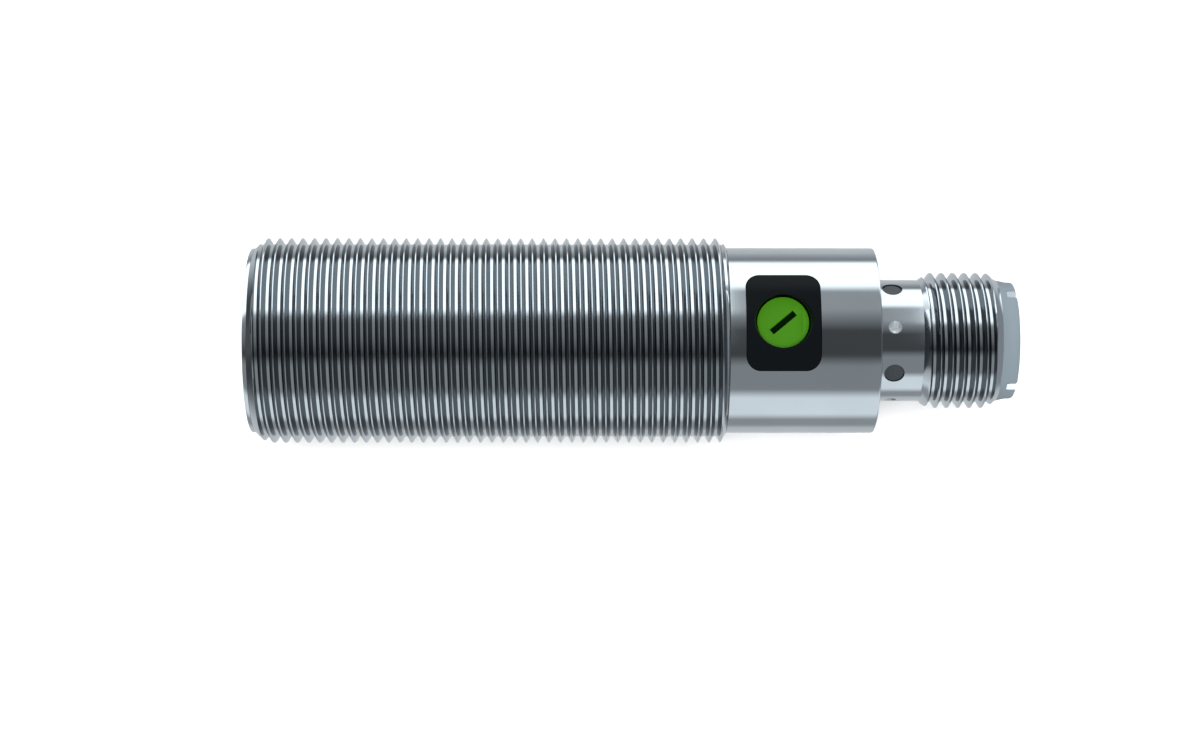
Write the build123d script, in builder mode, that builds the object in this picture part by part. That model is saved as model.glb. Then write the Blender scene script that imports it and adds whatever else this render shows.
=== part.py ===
"""Barrel photoelectric sensor: M18 stainless sleeve, laser optics, sensitivity adjuster, M12 plug.

Frame: origin at the centre of the sensing face, +X along the barrel towards the plug, +Z out
through the adjuster.  The beam leaves along -X.  All sizes are millimetres.
"""

from build123d import *
from math import cos, radians, sin, sqrt, tan
import os

os.makedirs("parts", exist_ok=True)

# ---------------------------------------------------------------- driving sizes

# Clearances
GAP = 0.05                      # between pieces that slide or drop into each other
PRESS_GAP = 0.02                # between pieces that are pressed, glued or soldered together
EDGE_BREAK = 0.12               # small chamfer on turned edges

# ISO metric thread form, shared by both threads
THREAD_PITCH = 1.0
THREAD_DEPTH = 0.55
FLANK_ANGLE = 30.0              # from the normal to the axis

# Housing sleeve
SLEEVE_LENGTH = 54.25
M18_CREST_D = 17.9              # M18 x 1, 6g: 17.794 to 17.974
SMOOTH_LENGTH = 13.35           # behind the last crest
THREAD_RELIEF = 0.85            # from the crests down to the smooth part
RIM_STEP = 0.9                  # from the crests down to the front rim
RIM_LENGTH = 0.35
SLEEVE_WALL = 0.7
REAR_WALL = 0.5
REAR_BORE_DEPTH = 4.2

# Front window and its seal
RIM_WALL = 0.85
WINDOW_THICKNESS = 1.6
WINDOW_SEAL_CORD = 0.48
LIP_WIDTH = 0.7
LIP_THICKNESS = 0.9
FILM_THICKNESS = 0.15

# Optics
BARREL_LENGTH = 20.95
BARREL_WALL = 1.5
LENS_THICKNESS = 3.0
LENS_EDGE = 1.0
LENS_SETBACK = 0.35             # of the lens crown, behind the barrel's front face
LENS_SEAT_WIDTH = 0.65
RETAINER_WALL = 0.65
CONE_END_D = 6.4
CHAMBER_SIDE = 6.8              # square room for the beam splitter
CHAMBER_LENGTH = 6.6
CHAMBER_BACK_WALL = 0.5
SPLITTER_LENGTH = 7.0
SPLITTER_THICKNESS = 0.7
SPLITTER_GROOVE = 0.3           # how far each groove holds the splitter's edge
RECEIVER_BORE_D = 2.4
RECEIVER_FLOOR = 1.2            # wall between the chamber and the receiver's pocket
RECEIVER_POCKET_WIDTH = 7.0
RECEIVER_POCKET_LENGTH = 9.0
APERTURE_D = 3.6
APERTURE_THICKNESS = 0.2
PINHOLE_D = 0.8
PHOTODIODE_SIZE = (3.0, 2.6, 0.9)
RECEIVER_BOARD_SIZE = (8.0, 6.6, 0.6)

# Laser diode, in a TO can of 5.6 mm
LASER_HOLDER_D = 7.1
LASER_HOLDER_LENGTH = 3.5
LASER_FLANGE_D = 5.6
LASER_FLANGE_THICKNESS = 1.2
LASER_FLANGE_SETBACK = 1.45     # from the holder's front face
LASER_CAP_D = 3.54
LASER_CAP_HEIGHT = 2.3
LASER_CAP_WALL = 0.25
LASER_CAP_HOLE_D = 2.0
LASER_GLASS_D = 2.4
LASER_PORT_D = 4.0
LASER_RETAINER_BORE_D = 3.6
LASER_LEAD_D = 0.45
LASER_LEAD_LENGTH = 3.0
LASER_LEAD_SPREAD = 1.4         # between the two upper leads

# Main board, its cradle and the receiver's flexible strip
BOARD_THICKNESS = 1.0
BOARD_SETBACK = 1.0             # from the optics barrel
BOARD_END_GAP = 0.85            # to the sleeve's rear shoulder
CORNER_RADIUS = 0.7
CRADLE_RING_LENGTH = 1.75
CRADLE_RING_WALL = 1.0
CRADLE_RAIL_HEIGHT = 3.2
CRADLE_RAIL_DEPTH = 1.8
CRADLE_GROOVE_DEPTH = 0.7
FLEX_THICKNESS = 0.12
FLEX_WIDTH = 4.0
FLEX_BEND = 0.9

# Adjuster window in the sleeve
WINDOW_SETBACK = 8.35           # of its centre, from the sleeve's rear end
ADJUSTER_WINDOW_LENGTH = 6.4    # along the barrel
ADJUSTER_WINDOW_WIDTH = 8.4     # straight across the barrel
ADJUSTER_WINDOW_CORNER = 1.25
BEZEL_FLANGE = 0.5              # how far the bezel reaches under the sleeve's wall
BEZEL_FLOOR = 0.55
BEZEL_SINK = 0.03
BEZEL_EDGE = 0.35               # countersink round the screw's head
GASKET_THICKNESS = 0.3

# Adjuster screw
HEAD_D = 4.42
HEAD_CLEARANCE = 0.14
HEAD_SETBACK = 1.0              # below the sleeve's surface
HEAD_THICKNESS = 0.9
SLOT_LENGTH = 2.6
SLOT_WIDTH = 0.56
SLOT_DEPTH = 0.5
SLOT_ANGLE = 40.0               # from +X towards +Y, at rest
SHAFT_D = 2.3
SEAL_CORD = 0.64
SEAL_CLEARANCE = 0.03
CLIP_THICKNESS = 0.25
CLIP_GROOVE_D = 1.7
CLIP_D = 3.4
CLIP_MOUTH = 1.1
BLADE_LENGTH = 1.9
BLADE_THICKNESS = 0.5
BLADE_REACH = 0.55
BLADE_CLEARANCE = 0.05

# Trimmer on the main board
TRIMMER_SIDE = 3.8
TRIMMER_HEIGHT = 2.1
TRIMMER_FLOOR = 0.4
TRIMMER_BORE_D = 3.2
TRIMMER_LIP_D = 2.6
TRIMMER_LIP_HEIGHT = 0.4
TRACK_THICKNESS = 0.1
TRACK_D = (1.4, 2.3)
ROTOR_FOOT_D = 2.3
ROTOR_NECK_D = 2.4
ROTOR_RISE = 0.4                # above the trimmer's body
WIPER_THICKNESS = 0.2
WIPER_WIDTH = 0.5
STOP_SPAN = 59.0                # the block that ends the travel, in degrees
LUG_SPAN = 30.0
STOP_ANGLE = 90.0               # of the block, from +X towards +Y

# Plug shell, measured back from the sleeve's rear end
M12_CREST_D = 11.86             # M12 x 1, 6g: 11.794 to 11.974
NECK_STEP = 0.63                # from the crests down to the neck
NECK_LENGTH = 3.95
M12_CHAMFER = 0.9
M12_THREAD_LENGTH = 5.1
TIP_CONE = 0.8
TIP_TAPER = 0.9
RIM_BAND = 0.6
RIM_BAND_STEP = 0.83            # from the crests down to the band at the mouth
MOUTH_CHAMFER = 0.2
SHELL_BORE_D = 8.9
LINER_BORE_D = 9.5
LINER_LENGTH = 5.25             # stepped bore for the light guide
SHELL_SEAL_CORD = 0.8
SEAL_GROOVE_WIDTH = 1.2
SEAL_GROOVE_SETBACK = 1.9
CUP_D = 11.5
CUP_DEPTH = 1.95
LED_HOLE_SETBACK = 1.45
LED_HOLE_D = 1.75
LED_HOLE_START = 45.0           # from +Z
LED_HOLES = 4
DIMPLE_D = 1.16
DIMPLE_DEPTH = 0.4
DIMPLE_TAPER = 35.0
NOTCH_WIDTH = 0.85
NOTCH_DEPTH = 0.9
NOTCH_ANGLES = (39.5, 115.5, 219.5, 295.5)      # from +Z towards +Y

# Contacts, four-way A-coded layout
CARRIER_THICKNESS = 1.3
CARRIER_BOSS_D = 6.2
KEY_WIDTH = 0.9
KEY_HEIGHT = 0.5
KEY_LENGTH = 6.8
CONTACT_CIRCLE_D = 5.0
CONTACT_D = 1.0
CONTACT_LENGTH = 6.7            # in front of the carrier's face
CONTACT_TIP = 0.3
TAIL_D = 0.8
TAIL_REACH = 0.5                # out of the potting, towards the board
WIRE_D = 0.4
WIRE_RUN = 0.55
WIRE_LANDING = 1.4
WIRE_BEND = 0.3
WIRE_PAD_Y = 3.0

# Indicator lights
LED_BOARD_THICKNESS = 0.8
LED_SIZE = 0.8
LED_HEIGHT = 0.6
LED_CIRCLE_D = 7.6
GUIDE_BORE_D = 6.5
PIP_SETBACK = 0.15              # of each light window, below the neck's surface

# ---------------------------------------------------------------- derived sizes

flank_width = THREAD_DEPTH * tan(radians(FLANK_ANGLE))
crest_flat = THREAD_PITCH / 8
root_flat = THREAD_PITCH - crest_flat - 2 * flank_width

m18_r = M18_CREST_D / 2
m12_r = M12_CREST_D / 2
rim_r = m18_r - RIM_STEP
body_r = m18_r - THREAD_RELIEF
bore_r = body_r - SLEEVE_WALL
rear_bore_r = body_r - REAR_WALL
board_top = BOARD_THICKNESS / 2

thread_end = SLEEVE_LENGTH - SMOOTH_LENGTH
rear_shoulder = SLEEVE_LENGTH - REAR_BORE_DEPTH
window_x = SLEEVE_LENGTH - WINDOW_SETBACK

window_pocket_r = rim_r - RIM_WALL
window_r = window_pocket_r - GAP
window_pocket_depth = WINDOW_THICKNESS + WINDOW_SEAL_CORD + PRESS_GAP
lip_r = window_pocket_r - LIP_WIDTH
lip_end = window_pocket_depth + LIP_THICKNESS


# ---------------------------------------------------------------- shared shapes

def box_between(low, high, mode=Mode.ADD):
    """A box from one corner to the opposite one, in the frame of the sensor."""
    size = [b - a for a, b in zip(low, high)]
    centre = [(a + b) / 2 for a, b in zip(low, high)]
    with Locations(Location(centre)):
        Box(*size, mode=mode)


def turned(points, mode=Mode.ADD):
    """A body of revolution about the barrel's axis, from (x, radius) corners."""
    with BuildSketch(Plane.XY) as profile:
        with BuildLine():
            Polyline(*points, close=True)
        make_face()
    revolve(profile.sketch, axis=Axis.X, mode=mode)


def thread_grooves(first, last, crest_r):
    """Cuts V grooves of the ISO form, one pitch apart, centred from first to last."""
    count = int((last - first) / THREAD_PITCH + 1e-6) + 1
    overcut = crest_flat        # the cutter stands proud of the crests by this much
    mouth = root_flat / 2 + (THREAD_DEPTH + overcut) * tan(radians(FLANK_ANGLE))
    places = [(first + i * THREAD_PITCH, crest_r - THREAD_DEPTH) for i in range(count)]
    with BuildSketch(Plane.XY) as grooves:
        with Locations(*places):
            Polygon(
                (-root_flat / 2, 0),
                (root_flat / 2, 0),
                (mouth, THREAD_DEPTH + overcut),
                (-mouth, THREAD_DEPTH + overcut),
                align=None,
            )
    revolve(grooves.sketch, axis=Axis.X, mode=Mode.SUBTRACT)


def radial_plane(x, angle, radius):
    """A plane at x facing straight out of the barrel; angle runs from +Z towards +Y."""
    out = Vector(0, sin(radians(angle)), cos(radians(angle)))
    return Plane(origin=Vector(x, 0, 0) + out * radius, x_dir=(1, 0, 0), z_dir=out)


def disc(start, thickness, radius, hole_r=0.0, places=((0, 0),), mode=Mode.ADD):
    """A flat disc or washer square to the barrel's axis, at each (y, z) place."""
    with BuildSketch(Plane.YZ.offset(start)) as outline:
        with Locations(*places):
            Circle(radius)
            if hole_r:
                Circle(hole_r, mode=Mode.SUBTRACT)
    extrude(outline.sketch, amount=thickness, mode=mode)


def upright(bottom, top, radius, hole_r=0.0, mode=Mode.ADD):
    """A disc or washer about the adjuster's axis."""
    with BuildSketch(Plane.XY.offset(bottom)) as outline:
        with Locations((window_x, 0)):
            Circle(radius)
            if hole_r:
                Circle(hole_r, mode=Mode.SUBTRACT)
    extrude(outline.sketch, amount=top - bottom, mode=mode)


def wedge(centre_angle, span, reach, mode=Mode.ADD):
    """A triangle from the current place that covers a sector of that span."""
    half = radians(span / 2)
    corner = reach / cos(half)
    ends = [radians(centre_angle) + sign * half for sign in (-1, 1)]
    Polygon((0, 0), *[(corner * cos(a), corner * sin(a)) for a in ends], align=None, mode=mode)


def save(piece, name):
    """Labels a finished piece and writes it."""
    piece.part.label = name
    export_step(piece.part, f"parts/{name}.step")


# ================================================================ housing sleeve

chamfer_end = RIM_LENGTH + RIM_STEP             # the front chamfer is at 45 degrees
first_m18_groove = RIM_LENGTH + THREAD_PITCH
thread_runout = thread_end + THREAD_RELIEF * tan(radians(FLANK_ANGLE))

with BuildPart() as threaded_sleeve:
    turned([
        (0, window_pocket_r),
        (0, rim_r - EDGE_BREAK),
        (EDGE_BREAK, rim_r),
        (RIM_LENGTH, rim_r),
        (chamfer_end, m18_r),
        (thread_end, m18_r),
        (thread_runout, body_r),
        (SLEEVE_LENGTH - EDGE_BREAK, body_r),
        (SLEEVE_LENGTH, body_r - EDGE_BREAK),
        (SLEEVE_LENGTH, rear_bore_r),
        (rear_shoulder, rear_bore_r),
        (rear_shoulder, bore_r),
        (lip_end, bore_r),
        (lip_end, lip_r),
        (window_pocket_depth, lip_r),
        (window_pocket_depth, window_pocket_r),
    ])
    thread_grooves(first_m18_groove, thread_end - THREAD_PITCH / 2, m18_r)
    with BuildSketch(Plane.XY):
        with Locations((window_x, 0)):
            RectangleRounded(ADJUSTER_WINDOW_LENGTH, ADJUSTER_WINDOW_WIDTH, ADJUSTER_WINDOW_CORNER)
    extrude(amount=m18_r, mode=Mode.SUBTRACT)
save(threaded_sleeve, "threaded_sleeve")

# ================================================================ front window

with BuildPart() as front_window:
    disc(0, WINDOW_THICKNESS, window_r)
    chamfer(front_window.edges().group_by(Axis.X)[0], EDGE_BREAK)
save(front_window, "front_window")

with BuildPart() as window_seal:
    with BuildSketch(Plane.XY):
        with Locations(((WINDOW_THICKNESS + window_pocket_depth) / 2, (lip_r + window_pocket_r) / 2)):
            Circle(WINDOW_SEAL_CORD / 2)
    revolve(axis=Axis.X)
save(window_seal, "window_seal")

barrel_start = lip_end + GAP

with BuildPart() as polarising_film:
    disc(barrel_start - PRESS_GAP - FILM_THICKNESS, FILM_THICKNESS, lip_r - GAP)
save(polarising_film, "polarising_film")

# ================================================================ optics barrel

barrel_r = bore_r - 2 * GAP
barrel_end = barrel_start + BARREL_LENGTH
lens_pocket_r = barrel_r - BARREL_WALL
lens_r = lens_pocket_r - GAP
lens_crown = barrel_start + LENS_SETBACK
lens_back = lens_crown + LENS_THICKNESS
lens_shoulder = lens_back + PRESS_GAP
holder_start = barrel_end - LASER_HOLDER_LENGTH
holder_pocket_r = LASER_HOLDER_D / 2 + GAP
chamber_end = holder_start - CHAMBER_BACK_WALL
chamber_start = chamber_end - CHAMBER_LENGTH
half_chamber = CHAMBER_SIDE / 2
splitter_x = chamber_start + CHAMBER_LENGTH / 2
splitter_width = CHAMBER_SIDE + 2 * SPLITTER_GROOVE - 2 * GAP
splitter_plane = Plane(origin=(splitter_x, 0, 0), x_dir=(0, 1, 0), z_dir=(1, 0, 1))
receiver_top = -half_chamber - RECEIVER_FLOOR

with BuildPart() as optics_barrel:
    turned([
        (barrel_start, lens_pocket_r),
        (barrel_start, barrel_r),
        (barrel_end, barrel_r),
        (barrel_end, holder_pocket_r),
        (holder_start - PRESS_GAP, holder_pocket_r),
        (holder_start - PRESS_GAP, LASER_PORT_D / 2),
        (chamber_start, LASER_PORT_D / 2),
        (chamber_start, CONE_END_D / 2),
        (lens_shoulder, lens_pocket_r - LENS_SEAT_WIDTH),
        (lens_shoulder, lens_pocket_r),
    ])
    box_between(
        (chamber_start, -half_chamber, -half_chamber),
        (chamber_end, half_chamber, half_chamber),
        mode=Mode.SUBTRACT,
    )
    # slanted grooves that hold the splitter's two side edges
    with BuildSketch(splitter_plane):
        Rectangle(splitter_width + 2 * GAP, SPLITTER_LENGTH + 2 * GAP)
    extrude(amount=SPLITTER_THICKNESS / 2 + GAP, both=True, mode=Mode.SUBTRACT)
    # the way down to the receiver, and the pocket for its board
    with BuildSketch(Plane.XY.offset(receiver_top)):
        with Locations((splitter_x, 0)):
            Circle(RECEIVER_BORE_D / 2)
    extrude(amount=-receiver_top, mode=Mode.SUBTRACT)
    box_between(
        (splitter_x - RECEIVER_POCKET_LENGTH / 2, -RECEIVER_POCKET_WIDTH / 2, -bore_r),
        (barrel_end, RECEIVER_POCKET_WIDTH / 2, receiver_top),
        mode=Mode.SUBTRACT,
    )
save(optics_barrel, "optics_barrel")

lens_sag = LENS_THICKNESS - LENS_EDGE
lens_curve = (lens_r ** 2 + lens_sag ** 2) / (2 * lens_sag)


def crown_x(radius):
    """Where the lens's domed face lies at that distance from the axis."""
    return lens_crown + lens_curve - sqrt(lens_curve ** 2 - radius ** 2)


with BuildPart() as objective_lens:
    with BuildSketch(Plane.XY):
        with BuildLine():
            ThreePointArc((lens_crown, 0), (crown_x(lens_r / 2), lens_r / 2), (crown_x(lens_r), lens_r))
            Polyline((crown_x(lens_r), lens_r), (lens_back, lens_r), (lens_back, 0), (lens_crown, 0))
        make_face()
    revolve(axis=Axis.X)
save(objective_lens, "objective_lens")

retainer_back_r = lens_r - EDGE_BREAK
retainer_back = crown_x(retainer_back_r) - PRESS_GAP

with BuildPart() as lens_retainer:
    turned([
        (barrel_start, lens_r - RETAINER_WALL),
        (barrel_start, lens_r),
        (retainer_back, lens_r),
        (retainer_back, retainer_back_r),
        (lens_crown, lens_r - RETAINER_WALL),
    ])
save(lens_retainer, "lens_retainer")

with BuildPart() as beam_splitter:
    with BuildSketch(splitter_plane):
        Rectangle(splitter_width, SPLITTER_LENGTH)
    extrude(amount=SPLITTER_THICKNESS / 2, both=True)
save(beam_splitter, "beam_splitter")

# ================================================================ receiver

aperture_top = receiver_top - PRESS_GAP
aperture_bottom = aperture_top - APERTURE_THICKNESS
photodiode_top = aperture_bottom - PRESS_GAP
receiver_board_top = photodiode_top - PHOTODIODE_SIZE[2] - PRESS_GAP

with BuildPart() as aperture_plate:
    with BuildSketch(Plane.XY.offset(aperture_bottom)):
        with Locations((splitter_x, 0)):
            Circle(APERTURE_D / 2)
            Circle(PINHOLE_D / 2, mode=Mode.SUBTRACT)
    extrude(amount=APERTURE_THICKNESS)
save(aperture_plate, "aperture_plate")

with BuildPart() as photodiode:
    with BuildSketch(Plane.XY.offset(photodiode_top)):
        with Locations((splitter_x, 0)):
            Rectangle(PHOTODIODE_SIZE[0], PHOTODIODE_SIZE[1])
    extrude(amount=-PHOTODIODE_SIZE[2])
    chamfer(photodiode.edges().group_by(Axis.Z)[-1], EDGE_BREAK)
save(photodiode, "photodiode")

with BuildPart() as receiver_board:
    with BuildSketch(Plane.XY.offset(receiver_board_top)):
        with Locations((splitter_x, 0)):
            RectangleRounded(RECEIVER_BOARD_SIZE[0], RECEIVER_BOARD_SIZE[1], CORNER_RADIUS)
    extrude(amount=-RECEIVER_BOARD_SIZE[2])
save(receiver_board, "receiver_board")

# ================================================================ laser

flange_front = holder_start + LASER_FLANGE_SETBACK
flange_back = flange_front + LASER_FLANGE_THICKNESS
cap_front = flange_front - LASER_CAP_HEIGHT
cap_r = LASER_CAP_D / 2
flange_r = LASER_FLANGE_D / 2

with BuildPart() as laser_holder:
    turned([
        (holder_start, cap_r + GAP),
        (holder_start, LASER_HOLDER_D / 2 - EDGE_BREAK),
        (holder_start + EDGE_BREAK, LASER_HOLDER_D / 2),
        (barrel_end, LASER_HOLDER_D / 2),
        (barrel_end, flange_r + GAP),
        (flange_front - PRESS_GAP, flange_r + GAP),
        (flange_front - PRESS_GAP, cap_r + GAP),
    ])
save(laser_holder, "laser_holder")

with BuildPart() as laser_diode:
    turned([
        (cap_front, LASER_CAP_HOLE_D / 2),
        (cap_front, cap_r),
        (flange_front, cap_r),
        (flange_front, flange_r),
        (flange_back, flange_r),
        (flange_back, 0),
        (flange_front, 0),
        (flange_front, cap_r - LASER_CAP_WALL),
        (cap_front + LASER_CAP_WALL, cap_r - LASER_CAP_WALL),
        (cap_front + LASER_CAP_WALL, LASER_CAP_HOLE_D / 2),
    ])
save(laser_diode, "laser_diode")

with BuildPart() as laser_glass:
    disc(cap_front + LASER_CAP_WALL + PRESS_GAP, LASER_CAP_WALL, LASER_GLASS_D / 2)
save(laser_glass, "laser_glass")

with BuildPart() as laser_chip:
    box_between(
        (flange_front - LASER_CAP_HEIGHT / 2, -LASER_CAP_WALL, -2 * LASER_CAP_WALL),
        (flange_front - PRESS_GAP, LASER_CAP_WALL, 0),
    )
save(laser_chip, "laser_chip")

with BuildPart() as laser_retainer:
    disc(flange_back + PRESS_GAP, barrel_end - flange_back - PRESS_GAP, flange_r, LASER_RETAINER_BORE_D / 2)
save(laser_retainer, "laser_retainer")

lead_z = board_top + PRESS_GAP + LASER_LEAD_D / 2
lead_places = [(-LASER_LEAD_SPREAD / 2, lead_z), (LASER_LEAD_SPREAD / 2, lead_z), (0, -lead_z)]

with BuildPart() as laser_leads:
    disc(flange_back + PRESS_GAP, LASER_LEAD_LENGTH, LASER_LEAD_D / 2, places=lead_places)
save(laser_leads, "laser_leads")

# ================================================================ cradle and main board

cradle_start = barrel_end + GAP
cradle_end = rear_shoulder - GAP
cradle_r = bore_r - 2 * GAP
ring_inner_r = cradle_r - CRADLE_RING_WALL
rail_inner = cradle_r - CRADLE_RAIL_DEPTH
rail_half = CRADLE_RAIL_HEIGHT / 2
board_start = barrel_end + BOARD_SETBACK
board_end = rear_shoulder - BOARD_END_GAP
half_board = rail_inner + CRADLE_GROOVE_DEPTH
bezel_half_length = ADJUSTER_WINDOW_LENGTH / 2 + BEZEL_FLANGE
bezel_half_width = ADJUSTER_WINDOW_WIDTH / 2 + BEZEL_FLANGE

with BuildPart() as board_cradle:
    disc(cradle_start, cradle_end - cradle_start, cradle_r)
    with BuildSketch(Plane.YZ.offset(cradle_start)):
        Circle(ring_inner_r)
        Rectangle(2 * rail_inner, 2 * bore_r, mode=Mode.INTERSECT)
    extrude(amount=cradle_end - cradle_start, mode=Mode.SUBTRACT)
    # open the wall between the end rings, above and below the side rails
    for low, high in ((rail_half, bore_r), (-bore_r, -rail_half)):
        box_between(
            (cradle_start + CRADLE_RING_LENGTH, -bore_r, low),
            (cradle_end - CRADLE_RING_LENGTH, bore_r, high),
            mode=Mode.SUBTRACT,
        )
    # room for the bezel's flange above the rear ring
    box_between(
        (window_x - bezel_half_length - 2 * GAP, -bezel_half_width - 2 * GAP, rail_half),
        (cradle_end, bezel_half_width + 2 * GAP, bore_r),
        mode=Mode.SUBTRACT,
    )
    # grooves for the board's long edges
    box_between(
        (board_start - GAP, -half_board - GAP, -board_top - GAP),
        (cradle_end, half_board + GAP, board_top + GAP),
        mode=Mode.SUBTRACT,
    )
save(board_cradle, "board_cradle")

with BuildPart() as main_board:
    with BuildSketch(Plane.XY.offset(-board_top)):
        with Locations(((board_start + board_end) / 2, 0)):
            RectangleRounded(board_end - board_start, 2 * half_board, CORNER_RADIUS)
    extrude(amount=BOARD_THICKNESS)
save(main_board, "main_board")


def on_board(along, across, height, side):
    """Where a component of that height sits on the upper (1) or lower (-1) face."""
    return Location((board_start + along, across, side * (board_top + PRESS_GAP + height / 2)))


def board_blocks(name, size, places, bevel):
    """A node of plain moulded components; places holds (along, across, side)."""
    with BuildPart() as blocks:
        with Locations(*[on_board(x, y, size[2], side) for x, y, side in places]):
            Box(*size)
        chamfer(blocks.edges().filter_by(Axis.Z), bevel)
    save(blocks, name)


def legged_chips(name, size, places, legs_a_side, pitch, leg=(0.3, 0.55, 0.3)):
    """A node of moulded chips with a row of flat legs along both long sides."""
    with BuildPart() as chips:
        for x, y, side in places:
            with Locations(on_board(x, y, size[2], side)):
                Box(*size)
            first_leg = x - (legs_a_side - 1) * pitch / 2
            for row in (1, -1):
                leg_y = y + row * (size[1] + leg[1]) / 2
                spots = [on_board(first_leg + i * pitch, leg_y, leg[2], side) for i in range(legs_a_side)]
                with Locations(*spots):
                    Box(*leg)
    save(chips, name)


trimmer_along = window_x - board_start

legged_chips("laser_driver_chip", (2.9, 1.6, 1.1), [(5.4, 3.6, 1)], 3, 0.95)
board_blocks("controller_chip", (5.0, 5.0, 0.9), [(9.2, 0.0, 1)], bevel=0.2)
board_blocks("clock_crystal", (3.2, 2.5, 0.8), [(14.0, -3.4, 1)], bevel=0.3)
board_blocks("tantalum_capacitor", (3.5, 2.8, 1.9), [(15.0, 3.3, 1)], bevel=0.15)
board_blocks(
    "chip_resistors",
    (1.6, 0.8, 0.45),
    [(4.6 + 2.2 * i, -4.2, 1) for i in range(4)] + [(5.2 + 2.2 * i, 4.4, -1) for i in range(4)],
    bevel=0.05,
)
board_blocks(
    "ceramic_capacitors",
    (2.0, 1.25, 1.0),
    [(10.0, 4.2, 1), (3.9, 0.9, 1), (3.9, -1.2, 1), (15.6, -0.4, 1)]
    + [(trimmer_along + 1.6, across, 1) for across in (4.3, -4.3)],
    bevel=0.08,
)
legged_chips("amplifier_chip", (4.9, 3.9, 1.5), [(7.6, 0.0, -1)], 4, 1.27)
board_blocks("choke_coil", (4.0, 4.0, 2.0), [(14.6, 1.9, -1)], bevel=0.5)
legged_chips("regulator_chip", (3.0, 1.75, 1.3), [(13.4, -3.2, -1)], 3, 0.95)
legged_chips("output_transistors", (2.9, 1.6, 1.1), [(18.6, -3.6, -1), (18.6, 3.6, -1)], 3, 0.95)
board_blocks("protection_diodes", (2.6, 1.8, 1.2), [(18.6, 0.9, -1), (18.6, -1.1, -1)], bevel=0.15)

flex_low = receiver_board_top + PRESS_GAP + FLEX_THICKNESS / 2
flex_high = -board_top - PRESS_GAP - FLEX_THICKNESS / 2
flex_rise = cradle_start + FLEX_BEND / 2
flex_landing = board_start + 2 * FLEX_BEND + PHOTODIODE_SIZE[2]

with BuildPart() as receiver_flex:
    with BuildSketch(Plane.XZ):
        with BuildLine():
            FilletPolyline(
                (splitter_x + PHOTODIODE_SIZE[0] / 2 + GAP, flex_low),
                (flex_rise, flex_low),
                (flex_landing, flex_high),
                (flex_landing + 2 * FLEX_BEND, flex_high),
                radius=FLEX_BEND,
            )
        trace(line_width=FLEX_THICKNESS)
    extrude(amount=FLEX_WIDTH / 2, both=True)
save(receiver_flex, "receiver_flex")

# ================================================================ trimmer

trimmer_bottom = board_top + PRESS_GAP
trimmer_top = trimmer_bottom + TRIMMER_HEIGHT
cavity_floor = trimmer_bottom + TRIMMER_FLOOR
lip_bottom = trimmer_top - TRIMMER_LIP_HEIGHT
track_bottom = cavity_floor + PRESS_GAP
wiper_bottom = track_bottom + TRACK_THICKNESS + PRESS_GAP
rotor_bottom = wiper_bottom + WIPER_THICKNESS + PRESS_GAP
rotor_shoulder = lip_bottom - GAP
rotor_top = trimmer_top + ROTOR_RISE
trimmer_bore_r = TRIMMER_BORE_D / 2
rest_lug_angle = STOP_ANGLE + 180 + SLOT_ANGLE  # the lug is opposite the block at mid-travel

with BuildPart() as trimmer_body:
    with BuildSketch(Plane.XY.offset(trimmer_bottom)):
        with Locations((window_x, 0)):
            RectangleRounded(TRIMMER_SIDE, TRIMMER_SIDE, CORNER_RADIUS / 2)
    extrude(amount=TRIMMER_HEIGHT)
    upright(cavity_floor, lip_bottom, trimmer_bore_r, mode=Mode.SUBTRACT)
    upright(lip_bottom, trimmer_top, TRIMMER_LIP_D / 2, mode=Mode.SUBTRACT)
    # the block that the rotor's lug meets at both ends of its travel
    with BuildSketch(Plane.XY.offset(rotor_bottom)):
        with Locations((window_x, 0)):
            wedge(STOP_ANGLE, STOP_SPAN, TRIMMER_BORE_D)
            Circle(trimmer_bore_r + GAP, mode=Mode.INTERSECT)
            Circle(ROTOR_FOOT_D / 2 + GAP, mode=Mode.SUBTRACT)
    extrude(amount=lip_bottom - rotor_bottom)
save(trimmer_body, "trimmer_body")

with BuildPart() as trimmer_track:
    with BuildSketch(Plane.XY.offset(track_bottom)):
        with Locations((window_x, 0)):
            Circle(TRACK_D[1] / 2)
            Circle(TRACK_D[0] / 2, mode=Mode.SUBTRACT)
            wedge(STOP_ANGLE, STOP_SPAN, TRACK_D[1], mode=Mode.SUBTRACT)
    extrude(amount=TRACK_THICKNESS)
save(trimmer_track, "trimmer_track")

with BuildPart() as trimmer_rotor:
    upright(rotor_bottom, rotor_shoulder, ROTOR_FOOT_D / 2)
    upright(rotor_shoulder, rotor_top, ROTOR_NECK_D / 2)
    with BuildSketch(Plane.XY.offset(rotor_bottom + GAP)):
        with Locations((window_x, 0)):
            wedge(rest_lug_angle, LUG_SPAN, TRIMMER_BORE_D)
            Circle(trimmer_bore_r - GAP, mode=Mode.INTERSECT)
    extrude(amount=rotor_shoulder - rotor_bottom - GAP)
    with BuildSketch(Plane.XY.offset(rotor_top - BLADE_REACH)):
        with Locations((window_x, 0)):
            Rectangle(2 * ROTOR_NECK_D, BLADE_THICKNESS + 2 * BLADE_CLEARANCE, rotation=SLOT_ANGLE)
    extrude(amount=BLADE_REACH, mode=Mode.SUBTRACT)
save(trimmer_rotor, "trimmer_rotor")

wiper_reach = (TRACK_D[0] + TRACK_D[1]) / 4 + WIPER_WIDTH / 2

with BuildPart() as trimmer_wiper:
    with BuildSketch(Plane.XY.offset(wiper_bottom)):
        with Locations(Location((window_x, 0), rest_lug_angle)):
            Circle(TRACK_D[0] / 2 - GAP)
            with Locations((wiper_reach / 2, 0)):
                Rectangle(wiper_reach, WIPER_WIDTH)
    extrude(amount=WIPER_THICKNESS)
save(trimmer_wiper, "trimmer_wiper")

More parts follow.
